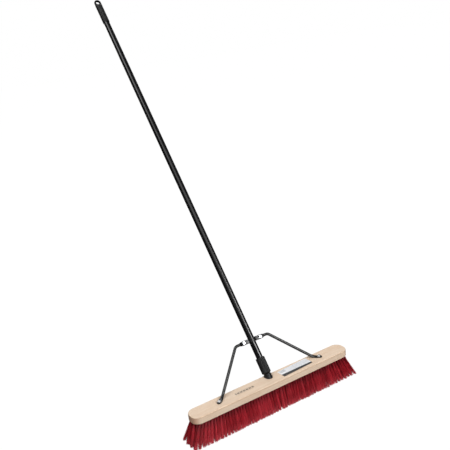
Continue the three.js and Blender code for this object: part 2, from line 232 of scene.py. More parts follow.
def beech():
    """Beech, planed and sanded: pale and slightly pink, with growth rings cut lengthwise, short
    dark pore flecks, redder end grain, and a plain ink mark printed on its top."""
    material, tree, shader = new_material("beech_sanded", IOR=1.5)
    axes = add(tree, "SeparateXYZ", object_place(tree)).outputs
    # Growth rings 5 mm apart round a pith that runs a little askew, below the block.
    pith = Matrix.Translation((0, 0.03, -0.06)) @ Matrix.Rotation(math.radians(1.6), 4, "Z")
    rings = add(tree, "TexWave", object_place(tree, (1, 1, 1), pith), wave_type="RINGS",
                rings_direction="X", Scale=FULL_TURN / 20 / (5 * MM), Distortion=5.0, Detail=2.0,
                Detail_Scale=0.35)
    fibres = add(tree, "TexNoise", object_place(tree, (90 * MM, 1.6 * MM, 1.6 * MM)), 1.0, 3.0)
    clouds = add(tree, "TexNoise", object_place(tree, (120 * MM, 22 * MM, 22 * MM)), 1.0, 2.0)
    flecks = add(tree, "TexNoise", object_place(tree, (7 * MM, 0.9 * MM, 0.9 * MM)), 1.0, 1.0)
    flecks = add(tree, "MapRange SMOOTHSTEP", flecks, 0.66, 0.74)
    ringed = add(tree, "ValToRGB", rings.outputs["Fac"],
                 stops=[(0.0, "#E6CFB8"), (0.55, "#E3CAB0"), (0.9, "#DBBC9E")])
    clouded = add(tree, "ValToRGB", clouds, stops=[(0.3, "#DFC2A8"), (0.7, "#EAD8C4")])
    fibred = add(tree, "ValToRGB", fibres, stops=[(0.3, "#D5B697"), (0.7, "#EEDCC8")])
    base = add(tree, "Mix RGBA", 0.55, ringed, clouded)
    base = add(tree, "Mix RGBA", 0.4, base, fibred)
    base = add(tree, "Mix RGBA", add(tree, "Math MULTIPLY", flecks, 0.35), base, colour("#B08A66"))

    # End grain drinks the sealer, so the two ends are redder and darker.
    end = add(tree, "Math ABSOLUTE", axes["X"])
    end = add(tree, "MapRange SMOOTHSTEP", end, BLOCK_HIGH.x - 22 * MM, BLOCK_HIGH.x - 4 * MM, 0.0, 0.72)
    side = add(tree, "MapRange SMOOTHSTEP", axes["Z"], TOP - 1 * MM, TOP - 4 * MM)
    base = add(tree, "Mix RGBA", add(tree, "Math MULTIPLY", end, side), base, colour("#CC9A7E"))

    # The band round the top edge, over its rounding and a little of the side below it, is painted a little
    # darker.
    below = add(tree, "MapRange SMOOTHSTEP", axes["Z"], TOP - 5 * MM, TOP - 2 * MM)
    above = add(tree, "MapRange SMOOTHSTEP", axes["Z"], TOP - 0.2 * MM, TOP - 1.2 * MM)
    rounded = add(tree, "Math MULTIPLY", below, above)
    base = add(tree, "Mix RGBA", add(tree, "Math MULTIPLY", rounded, 0.6), base, colour("#BFA082"))

    ink = ink_mark(tree, axes)
    worn = add(tree, "MapRange SMOOTHSTEP", fibres, 0.2, 0.6, 0.6, 0.9)
    base = add(tree, "Mix RGBA", add(tree, "Math MULTIPLY", ink, worn), base, colour("#5E554C"))
    rough = add(tree, "MapRange SMOOTHSTEP", fibres, 0.25, 0.75, 0.6, 0.76)
    height = add(tree, "Math SUBTRACT", fibres, add(tree, "Math MULTIPLY", flecks, 0.8))
    relief = add(tree, "Bump", Height=height, Distance=0.25 * MM, Strength=0.5)
    wire(tree, shader, Base_Color=base, Roughness=rough, Normal=relief)
    return material


def ink_mark(tree, axes):
    """Where the ink lies on the block's top: a row of plain blocks between two rules."""
    middle_x, half_x, middle_y, half_y = -103 * MM, 35 * MM, 2 * MM, 6 * MM
    inside_x = add(tree, "Math COMPARE", axes["X"], middle_x, half_x)
    on_top = add(tree, "Math GREATER_THAN", axes["Z"], TOP - 0.4 * MM)
    blocks = add(tree, "Math PINGPONG", axes["X"], 5.5 * MM)
    blocks = add(tree, "Math GREATER_THAN", blocks, 1.3 * MM)
    blocks = add(tree, "Math MULTIPLY", blocks, add(tree, "Math COMPARE", axes["Y"], middle_y, 3.2 * MM))
    inside = add(tree, "Math COMPARE", axes["Y"], middle_y, half_y - 0.9 * MM)
    beyond = add(tree, "Math SUBTRACT", 1.0, inside)
    rules = add(tree, "Math MULTIPLY", beyond, add(tree, "Math COMPARE", axes["Y"], middle_y, half_y))
    ink = add(tree, "Math MULTIPLY", add(tree, "Math MAXIMUM", blocks, rules), inside_x)
    return add(tree, "Math MULTIPLY", ink, on_top)


def red_filament():
    """Extruded polypropylene monofilament: saturated red, slightly glossy, each filament and each
    tuft a tone of its own, with painted shade darkening it up towards the roots between the tufts, and
    lighter towards the tips."""
    material, tree, shader = new_material("polypropylene_filament_red", IOR=1.49, Roughness=0.4)
    tone = add(tree, "Attribute", attribute_name="tone").outputs["Fac"]
    height = add(tree, "SeparateXYZ", object_place(tree)).outputs["Z"]
    streaks = add(tree, "TexNoise", object_place(tree, (2 * MM, 2 * MM, 26 * MM)), 1.0, 2.0)
    streaks = add(tree, "MapRange SMOOTHSTEP", streaks, 0.4, 0.75, 0.0, 0.3)
    base = add(tree, "ValToRGB", tone, stops=[(0.0, "#840E19"), (0.45, "#B81D2C"), (1.0, "#DA3D4A")])
    base = add(tree, "Mix RGBA", streaks, base, colour("#7A0C18"))
    # Lighter towards the tips.
    tips = add(tree, "MapRange SMOOTHSTEP", height, 30 * MM, 1 * MM, 0.0, 0.75)
    base = add(tree, "Mix RGBA", tips, base, colour("#D34C56"))
    # Painted shade: the filaments darken up towards the roots, where the tufts shade each other.
    roots = add(tree, "MapRange SMOOTHSTEP", height, UNDERSIDE - 34 * MM, UNDERSIDE - 2 * MM, 0.0, 0.55)
    base = add(tree, "Mix RGBA", roots, base, colour("#3E060D"))
    wire(tree, shader, Base_Color=base)
    return material


def enamel(name, dark, light, roughness):
    """Stoved black enamel over steel: deep black and even, with a faint orange peel, fine lengthwise
    rubs from the factory rollers and a little dust that greys the gloss."""
    material, tree, shader = new_material(name, IOR=1.55)
    place = object_place(tree, (1, 1, 1), HANDLE)
    peel = add(tree, "TexNoise", place, 1 / (2.2 * MM), 2.0)
    rubs = add(tree, "TexNoise", object_place(tree, (0.9 * MM, 0.9 * MM, 130 * MM), HANDLE), 1.0, 2.0)
    dust = add(tree, "TexNoise", object_place(tree, (30 * MM, 30 * MM, 70 * MM), HANDLE), 1.0, 4.0)
    specks = add(tree, "TexNoise", place, 1 / (1.3 * MM), 1.0)
    specks = add(tree, "MapRange SMOOTHSTEP", specks, 0.7, 0.78)
    base = add(tree, "ValToRGB", dust, stops=[(0.35, dark), (0.75, light)])
    base = add(tree, "Mix RGBA", add(tree, "Math MULTIPLY", specks, 0.15), base, colour("#5B5B59"))
    rubbed = add(tree, "MapRange SMOOTHSTEP", rubs, 0.4, 0.8, roughness, roughness + 0.1)
    dusty = add(tree, "MapRange SMOOTHSTEP", dust, 0.5, 0.8, 0.0, 0.08)
    height = add(tree, "Math ADD", peel, add(tree, "Math MULTIPLY", rubs, 0.4))
    relief = add(tree, "Bump", Height=height, Distance=0.05 * MM, Strength=0.35)
    wire(tree, shader, Base_Color=base, Roughness=add(tree, "Math ADD", rubbed, dusty), Normal=relief)
    return material


def moulded_plastic():
    """Injection-moulded polypropylene, black, from a spark-eroded mould: an even fine grain that
    scatters the light, and paler scuffs where hands and floors rub it."""
    material, tree, shader = new_material("polypropylene_moulded_black", IOR=1.49, Specular_IOR_Level=0.35)
    # The real grain is a third of this size, which would not show.
    grain = add(tree, "TexNoise", object_place(tree, (1, 1, 1), HANDLE), 1 / (0.9 * MM), 2.0)
    scuffs = add(tree, "TexNoise", object_place(tree, (2.5 * MM, 2.5 * MM, 16 * MM), HANDLE), 1.0, 3.0)
    scuffs = add(tree, "MapRange SMOOTHSTEP", scuffs, 0.55, 0.8)
    scuffs = add(tree, "Math MULTIPLY", scuffs, 0.5)
    base = add(tree, "Mix RGBA", scuffs, colour("#0D0D0E"), colour("#2C2C2E"))
    grey = add(tree, "MapRange SMOOTHSTEP", grain, 0.4, 0.8, 0.0, 0.3)
    base = add(tree, "Mix RGBA", grey, base, colour("#1D1D1F"))
    rough = add(tree, "MapRange SMOOTHSTEP", grain, 0.3, 0.8, 0.42, 0.58)
    relief = add(tree, "Bump", Height=grain, Distance=0.12 * MM, Strength=0.5)
    wire(tree, shader, Base_Color=base, Roughness=rough, Normal=relief)
    return material


def zinc_plate():
    """Bright zinc plate on turned and headed steel: silvery and faintly blue, with fine tool
    marks and a patchy gloss."""
    material, tree, shader = new_material("zinc_plated_steel", Metallic=1.0)
    place = object_place(tree)
    patches = add(tree, "TexNoise", place, 1 / (3 * MM), 3.0)
    marks = add(tree, "TexNoise", place, 1 / (0.35 * MM), 2.0)
    base = add(tree, "ValToRGB", patches, stops=[(0.3, "#C9CDD4"), (0.6, "#DEE0E2"), (0.85, "#E9E6DC")])
    rough = add(tree, "MapRange SMOOTHSTEP", patches, 0.3, 0.8, 0.2, 0.38)
    relief = add(tree, "Bump", Height=marks, Distance=0.03 * MM, Strength=0.4)
    wire(tree, shader, Base_Color=base, Roughness=rough, Normal=relief)
    return material


def coated_paper(low, high):
    """Coated label paper, printed: a white ground with a soft grey tint, a dark band along its
    front edge and small plain grey bars, a little raised by its fibres."""
    material, tree, shader = new_material("coated_paper_printed", IOR=1.45)
    axes = add(tree, "SeparateXYZ", object_place(tree)).outputs
    # Places on the label, as shares of its length and its width.
    along = add(tree, "MapRange", axes["X"], low.x, high.x)
    across = add(tree, "MapRange", axes["Y"], low.y, high.y)
    fibre = add(tree, "TexNoise", object_place(tree), 1 / (1.5 * MM), 3.0)
    tint = add(tree, "MapRange SMOOTHSTEP", fibre, 0.4, 0.7, 0.0, 0.15)
    ground = add(tree, "ValToRGB", along, stops=[(0.0, "#F1F2F4"), (0.5, "#DFE1E5"), (1.0, "#E9EAED")])
    ground = add(tree, "Mix RGBA", tint, ground, colour("#CFD2D6"))
    band = add(tree, "Math LESS_THAN", across, 0.24)
    worn = add(tree, "MapRange SMOOTHSTEP", fibre, 0.3, 0.7, 0.93, 0.98)
    base = add(tree, "Mix RGBA", add(tree, "Math MULTIPLY", band, worn), ground, colour("#1B1716"))
    bars_x = add(tree, "Math COMPARE", along, 0.12, 0.09)
    bars_y = add(tree, "Math PINGPONG", across, 0.06)
    bars_y = add(tree, "Math GREATER_THAN", bars_y, 0.032)
    bars = add(tree, "Math MULTIPLY", add(tree, "Math COMPARE", across, 0.66, 0.2), bars_y)
    bars = add(tree, "Math MULTIPLY", add(tree, "Math MULTIPLY", bars, bars_x), 0.75)
    base = add(tree, "Mix RGBA", bars, base, colour("#6E737B"))
    rough = add(tree, "MapRange SMOOTHSTEP", fibre, 0.3, 0.7, 0.38, 0.5)
    relief = add(tree, "Bump", Height=fibre, Distance=0.05 * MM, Strength=0.3)
    wire(tree, shader, Base_Color=base, Roughness=rough, Normal=relief)
    return material


# ---------------------------------------------------------------- shaping

def skin(rings, loop=False):
    """A closed surface through rings of points. loop joins the last ring to the first; otherwise
    the first and last rings are closed with a face."""
    mesh = bmesh.new()
    rows = [[mesh.verts.new(point) for point in ring] for ring in rings]
    pairs = list(zip(rows, rows[1:]))
    if loop:
        pairs.append((rows[-1], rows[0]))
    else:
        mesh.faces.new(rows[0])
        mesh.faces.new(rows[-1])
    for near, far in pairs:
        for i, vertex in enumerate(near):
            j = (i + 1) % len(near)
            mesh.faces.new((vertex, near[j], far[j], far[i]))
    bmesh.ops.recalc_face_normals(mesh, faces=mesh.faces)
    if mesh.calc_volume(signed=True) < 0:
        bmesh.ops.reverse_faces(mesh, faces=mesh.faces)
    return mesh


def turned(profile, sides, loop=False, radius_at=None):
    """A turned shape about z through (radius, height) points. radius_at may change the radius
    from the angle, the radius and the height."""
    rings = []
    for radius, height in profile:
        ring = []
        for i in range(sides):
            angle = FULL_TURN * i / sides
            r = radius_at(angle, radius, height) if radius_at else radius
            ring.append((r * math.cos(angle), r * math.sin(angle), height))
        rings.append(ring)
    return skin(rings, loop)


def straight(radius, start, end, steps):
    """Points up a straight side, close enough for a surface that changes along it."""
    return [(radius, start + (end - start) * i / steps) for i in range(steps + 1)]


def arc(centre, radius, start, end, steps):
    """Points on an arc, with its angles in degrees."""
    angles = [math.radians(start + (end - start) * i / steps) for i in range(steps + 1)]
    return [(centre[0] + radius * math.cos(a), centre[1] + radius * math.sin(a)) for a in angles]


def rounded_rectangle(length, width, corner, steps):
    """The outline of a rectangle with round corners, anticlockwise."""
    x, y = length / 2 - corner, width / 2 - corner
    points = []
    for turn, centre in enumerate(((x, y), (-x, y), (-x, -y), (x, -y))):
        points += arc(centre, corner, 90 * turn, 90 * (turn + 1), steps)
    return points


def new_object(name, shape, place=Matrix()):
    """An object at the origin whose mesh is a shape put in its place."""
    shape.transform(place)
    mesh = bpy.data.meshes.new(name)
    shape.to_mesh(mesh)
    shape.free()
    made = bpy.data.objects.new(name, mesh)
    bpy.context.scene.collection.objects.link(made)
    return made


def settle(made):
    """Turns an object's modifiers into its plain mesh."""
    bpy.context.view_layer.update()
    evaluated = made.evaluated_get(bpy.context.evaluated_depsgraph_get())
    plain = bpy.data.meshes.new_from_object(evaluated)
    made.modifiers.clear()
    made.data = plain


def cut(made, *tools):
    """Cuts shapes out of an object."""
    for tool in tools:
        cutter = new_object("cutter", tool)
        boolean = made.modifiers.new("cut", "BOOLEAN")
        boolean.operation = "DIFFERENCE"
        boolean.solver = "MANIFOLD"
        boolean.object = cutter
        settle(made)
        bpy.data.objects.remove(cutter)


def bar(radius, start, end, sides=32):
    """A round bar between two points."""
    start, end = Vector(start), Vector(end)
    shape = turned([(radius, 0), (radius, (end - start).length)], sides)
    turn = (end - start).to_track_quat("Z", "Y").to_matrix().to_4x4()
    shape.transform(Matrix.Translation(start) @ turn)
    return shape


def finish_piece(made, finish, slot, body, *nodes, sharp=35):
    """Gives a piece its material and shading, and puts it in its place in the broom."""
    made.data.materials.clear()
    made.data.materials.append(finish)
    made.data.shade_smooth()
    made.data.set_sharp_from_angle(angle=math.radians(sharp))
    weighted = made.modifiers.new("weighted", "WEIGHTED_NORMAL")
    weighted.keep_sharp = True
    settle(made)
    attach(made, body)
    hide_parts(*nodes)


def thread_radius(angle, height, minor, major, play=0.0, phase=0.0, pitch=PITCH):
    """Radius of a right-hand thread: a ridge that narrows outwards, once every pitch."""
    off = (height - phase - pitch * angle / FULL_TURN) % pitch
    off = min(off, pitch - off)
    crest, root = 0.16 * pitch + play, 0.3 * pitch + play
    share = min(1.0, max(0.0, (root - off) / (root - crest)))
    return minor + (major - minor) * share


# ---------------------------------------------------------------- the head

def wood_block(finish):
    size = BLOCK_HIGH - BLOCK_LOW
    rings = []
    edge = [(1 - math.sin(a), 1 - math.cos(a))
            for a in (math.radians(90 * i / ROUNDING_STEPS) for i in range(ROUNDING_STEPS + 1))]
    levels = [(UNDERSIDE + up * EDGE_ROUNDING, inset * EDGE_ROUNDING) for inset, up in edge]
    levels += [(TOP - up * EDGE_ROUNDING, inset * EDGE_ROUNDING) for inset, up in reversed(edge)]
    for height, inset in levels:
        outline = rounded_rectangle(size.x - 2 * inset, size.y - 2 * inset, CORNER_RADIUS - inset,
                                    CORNER_STEPS)
        rings.append([(x, y, height) for x, y in outline])
    block = new_object("beech_block", skin(rings))

    # The tapped hole for the ferrule, with its groove in step with the ferrule's thread.
    low, _ = extent("ferrule", HANDLE)
    bottom, past = low.z - 1.4 * MM, 16 * MM
    rows = int((past - bottom) / PITCH * THREAD_ROWS)

    def groove(angle, _, height):
        minor, major = THREAD_MINOR + THREAD_PLAY, THREAD_MAJOR + THREAD_PLAY
        return thread_radius(angle, height, minor, major, THREAD_PLAY, low.z + PITCH / 2)

    hole = turned(straight(1, bottom, past, rows), 48, radius_at=groove)
    hole.transform(HANDLE)
    cut(block, hole)
    for side in ("left", "right"):
        low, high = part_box(f"foot_screw_{side}")
        x, y = (low.x + high.x) / 2, (low.y + high.y) / 2
        cut(block, bar(SCREW_RADIUS, (x, y, low.z - 1 * MM), (x, y, TOP + 1 * MM), 24))
    finish_piece(block, finish, "block_wood", "head", "wood_block", sharp=40)


def random_numbers(tree, seed, tuft, index):
    """A random number for each tuft or filament, by what it is for, each with a seed of its own."""
    chance = {}
    for number, (name, low, high, owner) in enumerate((
        ("tuft shift", -0.5 * MM, 0.5 * MM, tuft), ("tuft turn", 0.0, FULL_TURN, tuft),
        ("tuft lean x", -1.3 * MM, 1.3 * MM, tuft), ("stray", -1.1 * MM, 1.3 * MM, index),
        ("tuft lean y", -1.2 * MM, 1.2 * MM, tuft), ("tip height", 0.0, 0.55, index),
        ("tuft height", 0.0, 0.45, tuft), ("tuft tone", 0.0, 0.6, tuft), ("tone", 0.0, 0.4, index),
        ("spin", 0.0, FULL_TURN, index), ("bow", 0.0, 2.99, index),
    ), 1):
        own_seed = add(tree, "Math ADD", seed, number)
        chance[name] = add(tree, "RandomValue FLOAT", Min=low, Max=high, ID=owner, Seed=own_seed)
    return chance


def filament_ends(tree, given, index, tuft, chance):
    """Both ends of each filament, and how far its tuft is from the parting."""
    place = add(tree, "Math DIVIDE", tuft, add(tree, "Math SUBTRACT", given["Tufts"], 1.0))
    place = add(tree, "Math SUBTRACT", add(tree, "Math MULTIPLY", place, 2.0), 1.0)
    tuft_x = add(tree, "Math MULTIPLY", place, given["Root Reach"])
    tuft_x = add(tree, "Math ADD", tuft_x, chance["tuft shift"])

    # Where a filament stands in its tuft: turns of the golden angle fill the round hole evenly.
    inside = add(tree, "Math MODULO", index, given["Filaments"])
    share = add(tree, "Math DIVIDE", add(tree, "Math ADD", inside, 0.5), given["Filaments"])
    out = add(tree, "Math SQRT", share)
    golden = math.pi * (3 - math.sqrt(5))
    angle = add(tree, "Math ADD", add(tree, "Math MULTIPLY", inside, golden), chance["tuft turn"])
    off_x = add(tree, "Math MULTIPLY", out, add(tree, "Math COSINE", angle))
    off_y = add(tree, "Math MULTIPLY", out, add(tree, "Math SINE", angle))
    root_x = add(tree, "Math MULTIPLY_ADD", off_x, given["Tuft Radius"], tuft_x)
    root_y = add(tree, "Math MULTIPLY_ADD", off_y, given["Tuft Radius"], given["Root Y"])
    root = add(tree, "CombineXYZ", root_x, root_y, given["Top"])

    # The ends of a row flare, and the tufts beside the parting lean into it.
    reach = add(tree, "Math SUBTRACT", given["Tip Reach"], given["Root Reach"])
    flare = add(tree, "Math POWER", add(tree, "Math ABSOLUTE", place), FLARE_POWER)
    flare = add(tree, "Math MULTIPLY", flare, reach)
    flare = add(tree, "Math MULTIPLY", flare, add(tree, "Math SIGN", place))
    lean_x = add(tree, "Math ADD", flare, chance["tuft lean x"])
    away = add(tree, "Math SUBTRACT", tuft_x, given["Parting At"])
    distance = add(tree, "Math ABSOLUTE", away)
    near = add(tree, "Math EXPONENT", add(tree, "Math MULTIPLY", distance, -1 / PARTING_FADE))
    pull = add(tree, "Math MULTIPLY", near, add(tree, "Math SIGN", away))
    pull = add(tree, "Math MULTIPLY", pull, given["Parting Width"])
    lean_x = add(tree, "Math SUBTRACT", lean_x, add(tree, "Math MULTIPLY", pull, PARTING_LEAN))
    lean_y = add(tree, "Math ADD", given["Tip Y"], chance["tuft lean y"])
    stray = add(tree, "Math ADD", given["Tuft Spread"], chance["stray"])
    tip_x = add(tree, "Math ADD", add(tree, "Math MULTIPLY_ADD", off_x, stray, tuft_x), lean_x)
    tip_y = add(tree, "Math MULTIPLY_ADD", off_y, stray, lean_y)
    low = add(tree, "Math ADD", chance["tip height"], chance["tuft height"])
    tip = add(tree, "CombineXYZ", tip_x, tip_y, add(tree, "Math MULTIPLY", low, given["Trim Wander"]))
    return root, tip, distance


def bowed_filaments(tree, radius):
    """Filaments a metre long, each bowed its own way, to be scaled to the length of the trim."""
    ring = add(tree, "CurvePrimitiveCircle", mode="RADIUS", Resolution=FILAMENT_SIDES, Radius=radius)
    kinds = add(tree, "GeometryToInstance")
    for bow in reversed(FILAMENT_BOWS):
        line = add(tree, "CurveQuadraticBezier", Resolution=FILAMENT_STEPS,
                   Start=(0, 0, 0), Middle=(bow, 0, 0.55), End=(bow / 2, 0, 1))
        strand = add(tree, "CurveToMesh", Curve=line, Profile_Curve=ring, Fill_Caps=True)
        feed(tree, kinds.inputs[0], add(tree, "SetShadeSmooth", strand))
    return kinds


def filament_tree():
    """Geometry nodes that make one row of tufts: filaments that stand in round holes, spread
    towards their tips and lean out at the ends of the row."""
    tree = bpy.data.node_groups.new("tuft_row", "GeometryNodeTree")
    sockets = {}
    for name, kind in (
        ("Tufts", "Int"), ("Filaments", "Int"), ("Root Reach", "Float"), ("Tip Reach", "Float"),
        ("Root Y", "Float"), ("Tip Y", "Float"), ("Top", "Float"), ("Tuft Radius", "Float"),
        ("Tuft Spread", "Float"), ("Filament Radius", "Float"), ("Trim Wander", "Float"),
        ("Parting At", "Float"), ("Parting Width", "Float"), ("Seed", "Int"), ("Material", "Material"),
    ):
        made = tree.interface.new_socket(name=name, in_out="INPUT", socket_type=f"NodeSocket{kind}")
        sockets[name] = made.identifier
    tree.interface.new_socket(name="Geometry", in_out="OUTPUT", socket_type="NodeSocketGeometry")
    given = add(tree, "NodeGroupInput").outputs

    index = add(tree, "InputIndex")
    tuft = add(tree, "Math FLOOR", add(tree, "Math DIVIDE", index, given["Filaments"]))
    chance = random_numbers(tree, given["Seed"], tuft, index)
    root, tip, distance = filament_ends(tree, given, index, tuft, chance)
    count = add(tree, "Math MULTIPLY", given["Tufts"], given["Filaments"])
    points = add(tree, "Points", Count=count, Position=root)
    tone = add(tree, "Math ADD", chance["tuft tone"], chance["tone"])
    toned = add(tree, "StoreNamedAttribute FLOAT", points, domain="POINT", Name="tone", Value=tone)

    towards = add(tree, "VectorMath SUBTRACT", tip, root)
    length = add(tree, "VectorMath LENGTH", towards).outputs["Value"]
    aimed = add(tree, "AlignRotationToVector", axis="Z", Vector=towards)
    spin = add(tree, "AxisAngleToRotation", Axis=(0, 0, 1), Angle=chance["spin"])
    spun = add(tree, "RotateRotation", rotation_space="LOCAL", Rotation=aimed, Rotate_By=spin)
    gap = add(tree, "Math MULTIPLY", given["Parting Width"], 0.45)
    placed = add(tree, "InstanceOnPoints", toned, Selection=add(tree, "Math GREATER_THAN", distance, gap),
                 Instance=bowed_filaments(tree, given["Filament Radius"]), Pick_Instance=True,
                 Instance_Index=add(tree, "Math FLOOR", chance["bow"]), Rotation=spun,
                 Scale=add(tree, "CombineXYZ", 1.0, 1.0, length))
    real = add(tree, "RealizeInstances", placed)
    add(tree, "NodeGroupOutput", add(tree, "SetMaterial", real, Material=given["Material"]))
    return tree, sockets


def bristle_rows(finish):
    tree, sockets = filament_tree()
    names = sorted(node for node in frame["nodes"] if node.startswith("bristle_row_"))
    for number, node in enumerate(names):
        points = [vertex.co for vertex in frame["nodes"][node].data.vertices]
        middle = sum((point.z for point in points)) / len(points)
        roots = [point for point in points if point.z > middle]
        tips = [point for point in points if point.z <= middle]
        # The rows are staggered: every second one starts half a space further in.
        inset = number % 2 * TUFT_SPACING / 2
        root_reach = max(point.x for point in roots) - TUFT_RADIUS - inset
        mean_y = [sum(point.y for point in end) / len(end) for end in (roots, tips)]
        values = {
            "Tufts": round(2 * root_reach / TUFT_SPACING) + 1, "Filaments": FILAMENTS_IN_TUFT,
            "Root Reach": root_reach, "Tip Reach": max(point.x for point in tips) - inset - END_PLAY,
            "Root Y": mean_y[0], "Tip Y": mean_y[1], "Top": UNDERSIDE + ROOT_DEPTH,
            "Tuft Radius": TUFT_RADIUS, "Tuft Spread": TUFT_SPREAD, "Filament Radius": FILAMENT_RADIUS,
            "Trim Wander": TRIM_WANDER, "Parting At": PARTING_AT,
            "Parting Width": 0.0 if number else PARTING_WIDTH, "Seed": 100 * (number + 1),
            "Material": finish,
        }
        row = new_object(f"tuft_row_{number + 1}", bmesh.new())
        grown = row.modifiers.new("tufts", "NODES")
        grown.node_group = tree
        for name, value in values.items():
            grown[sockets[name]] = value
        settle(row)
        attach(row, "head")
        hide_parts(node)


def paper_label(finish):
    low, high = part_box("paper_label")
    middle, size = (low + high) / 2, high - low
    levels = ((low.z, 0.0), (high.z - 0.1 * MM, 0.0), (high.z, 0.1 * MM))
    rings = []
    for height, inset in levels:
        outline = rounded_rectangle(size.x - 2 * inset, size.y - 2 * inset, 2 * MM, 5)
        rings.append([(x, y, height - middle.z) for x, y in outline])
    # It was stuck on by hand, a little askew and towards the front.
    askew = Matrix.Translation(middle - Vector((0, 2.2 * MM, 0))) @ Matrix.Rotation(math.radians(3), 4, "Z")
    label = new_object("printed_label", skin(rings), askew)
    finish_piece(label, finish, "label_paper", "head", "paper_label")


# ---------------------------------------------------------------- the handle

def handle_tube(finish):
    low, high = extent("handle_tube", HANDLE)
    wall = (high.x - TUBE_WALL, high.x)
    profile = [(wall[0], low.z), (wall[1], low.z), (wall[1], high.z), (wall[0], high.z)]
    tube = new_object("enamelled_tube", turned(profile, 96, loop=True), HANDLE)
    finish_piece(tube, finish, "black_steel", "handle", "handle_tube")


def ribs(angle, number, depth):
    """How far a ribbed surface lies in at an angle: round-backed ribs with narrow grooves."""
    wave = 0.5 + 0.5 * math.cos(number * angle)
    return depth * wave ** 2.5


def ferrule(finish):
    low, high = extent("ferrule", HANDLE)
    tube_low, tube_high = extent("handle_tube", HANDLE)
    _, collar_high = extent("foot_collar", HANDLE)
    radius = high.x
    socket = tube_high.x + 0.15 * MM
    shoulder = collar_high.z + 0.3 * MM
    rib_start = shoulder + FERRULE_CHAMFER
    thread_end = low.z + 4 * PITCH

    rows = int((shoulder - low.z) / PITCH * THREAD_ROWS)
    screw = straight(THREAD_MINOR, low.z, shoulder, rows)
    barrel = straight(radius, rib_start, high.z - 3 * MM, 8)
    lip = arc((radius - 1.2 * MM, high.z - 1.2 * MM), 1.2 * MM, 0, 90, 4)
    profile = [
        (SCREW_BORE, low.z), *screw, (FERRULE_FOOT - 0.3 * MM, shoulder),
        (FERRULE_FOOT, shoulder + 0.3 * MM), (radius - 0.4 * MM, rib_start - 0.5 * MM), *barrel, *lip,
        (socket, high.z), (socket, tube_low.z), (SCREW_BORE, tube_low.z),
    ]

    def surface(angle, r, height):
        if r == THREAD_MINOR and low.z + 0.5 * MM < height < thread_end:
            return thread_radius(angle, height, THREAD_MINOR, THREAD_MAJOR, 0, low.z + PITCH / 2)
        if r == radius and rib_start - 1e-6 <= height:
            return r - ribs(angle, FERRULE_RIBS, FERRULE_RIB_DEPTH)
        return r

    made = new_object("threaded_ferrule", turned(profile, 8 * FERRULE_RIBS, True, surface), HANDLE)
    finish_piece(made, finish, "black_plastic", "handle", "ferrule", sharp=50)


def foot_collar(finish):
    """A loose collar under the ferrule, cut at the handle's slant so that it sits flat on the block."""
    low, high = extent("foot_collar", HANDLE)
    outer = high.x
    inner = outer - 1.5 * MM
    slant = math.atan2(HANDLE[1][2], HANDLE[2][2])
    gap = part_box("foot_collar")[0].z - TOP

    def foot(angle, radius, lift):
        """The height at which the collar meets the block, at an angle and a radius."""
        return (gap + lift + radius * math.sin(angle) * math.sin(slant)) / math.cos(slant)

    top, round_off = high.z, 0.5 * MM
    rings = []
    for radius, at_top, lift in (
        (inner, False, 0.0), (outer - round_off, False, 0.0), (outer + 0.9 * MM, False, 0.5 * MM),
        (outer + 0.9 * MM, False, 1.6 * MM), (outer, False, 2.4 * MM), (outer, True, -round_off),
        (outer - round_off, True, 0.0), (inner, True, 0.0),
    ):
        ring = []
        for i in range(96):
            angle = FULL_TURN * i / 96
            height = top + lift if at_top else foot(angle, radius, lift)
            ring.append((radius * math.cos(angle), radius * math.sin(angle), height))
        rings.append(ring)
    made = new_object("slanted_collar", skin(rings, loop=True), HANDLE)
    finish_piece(made, finish, "black_plastic", "collar", "foot_collar")


def hanger_cap(finish):
    low, high = extent("hanger_cap", HANDLE)
    _, tube_high = extent("handle_tube", HANDLE)
    radius = high.x
    socket = tube_high.x + 0.15 * MM
    dome = high.z - radius
    shoulder = high.z - TAB_LENGTH
    lip = arc((radius - 1 * MM, low.z + 1 * MM), 1 * MM, -90, 0, 4)
    barrel = straight(radius, low.z + 3 * MM, dome, 40)
    crown = arc((0, dome), radius, 0, 86, 14)[1:]
    rings = []
    for r, height in [(socket, low.z), *lip, *barrel, *crown]:
        # The top is pressed flat into a tab, with a soft shoulder below it.
        share = min(1.0, max(0.0, (height - (shoulder - 8 * MM)) / (14 * MM)))
        share = share * share * (3 - 2 * share)
        half = radius + (TAB_THICKNESS / 2 - radius) * share
        ribbed = r == radius and height >= low.z + 3 * MM - 1e-6
        ring = []
        for i in range(8 * CAP_RIBS):
            angle = FULL_TURN * i / (8 * CAP_RIBS)
            here = r - ribs(angle, CAP_RIBS, CAP_RIB_DEPTH) * (1 - share) if ribbed else r
            y = here * math.sin(angle)
            flat = half * math.tanh(y / half * 1.6) if share > 0 else y
            y += (flat - y) * share
            ring.append((here * math.cos(angle), y, height))
        rings.append(ring)
    made = new_object("hanger_cap_moulding", skin(rings), HANDLE)
    mouth, bottom = Vector((0, 0, low.z - 5 * MM)), Vector((0, 0, low.z + CAP_DEPTH))
    bore = bar(socket, HANDLE @ mouth, HANDLE @ bottom, 64)
    # The hanging hole is countersunk a little on both faces.
    flare, half = 1.2 * MM, TAB_THICKNESS / 2
    hole = turned([
        (HANGER_HOLE + 6 * MM, -half - 5 * MM), (HANGER_HOLE + flare, -half),
        (HANGER_HOLE + 0.3 * MM, -half + flare), (HANGER_HOLE, 0), (HANGER_HOLE + 0.3 * MM, half - flare),
        (HANGER_HOLE + flare, half), (HANGER_HOLE + 6 * MM, half + 5 * MM),
    ], 48)
    hole.transform(HANDLE @ Matrix.Translation((0, 0, dome)) @ Matrix.Rotation(math.radians(90), 4, "X"))
    cut(made, bore, hole)
    finish_piece(made, finish, "black_plastic", "hanger", "hanger_cap", sharp=40)


# ---------------------------------------------------------------- the brace

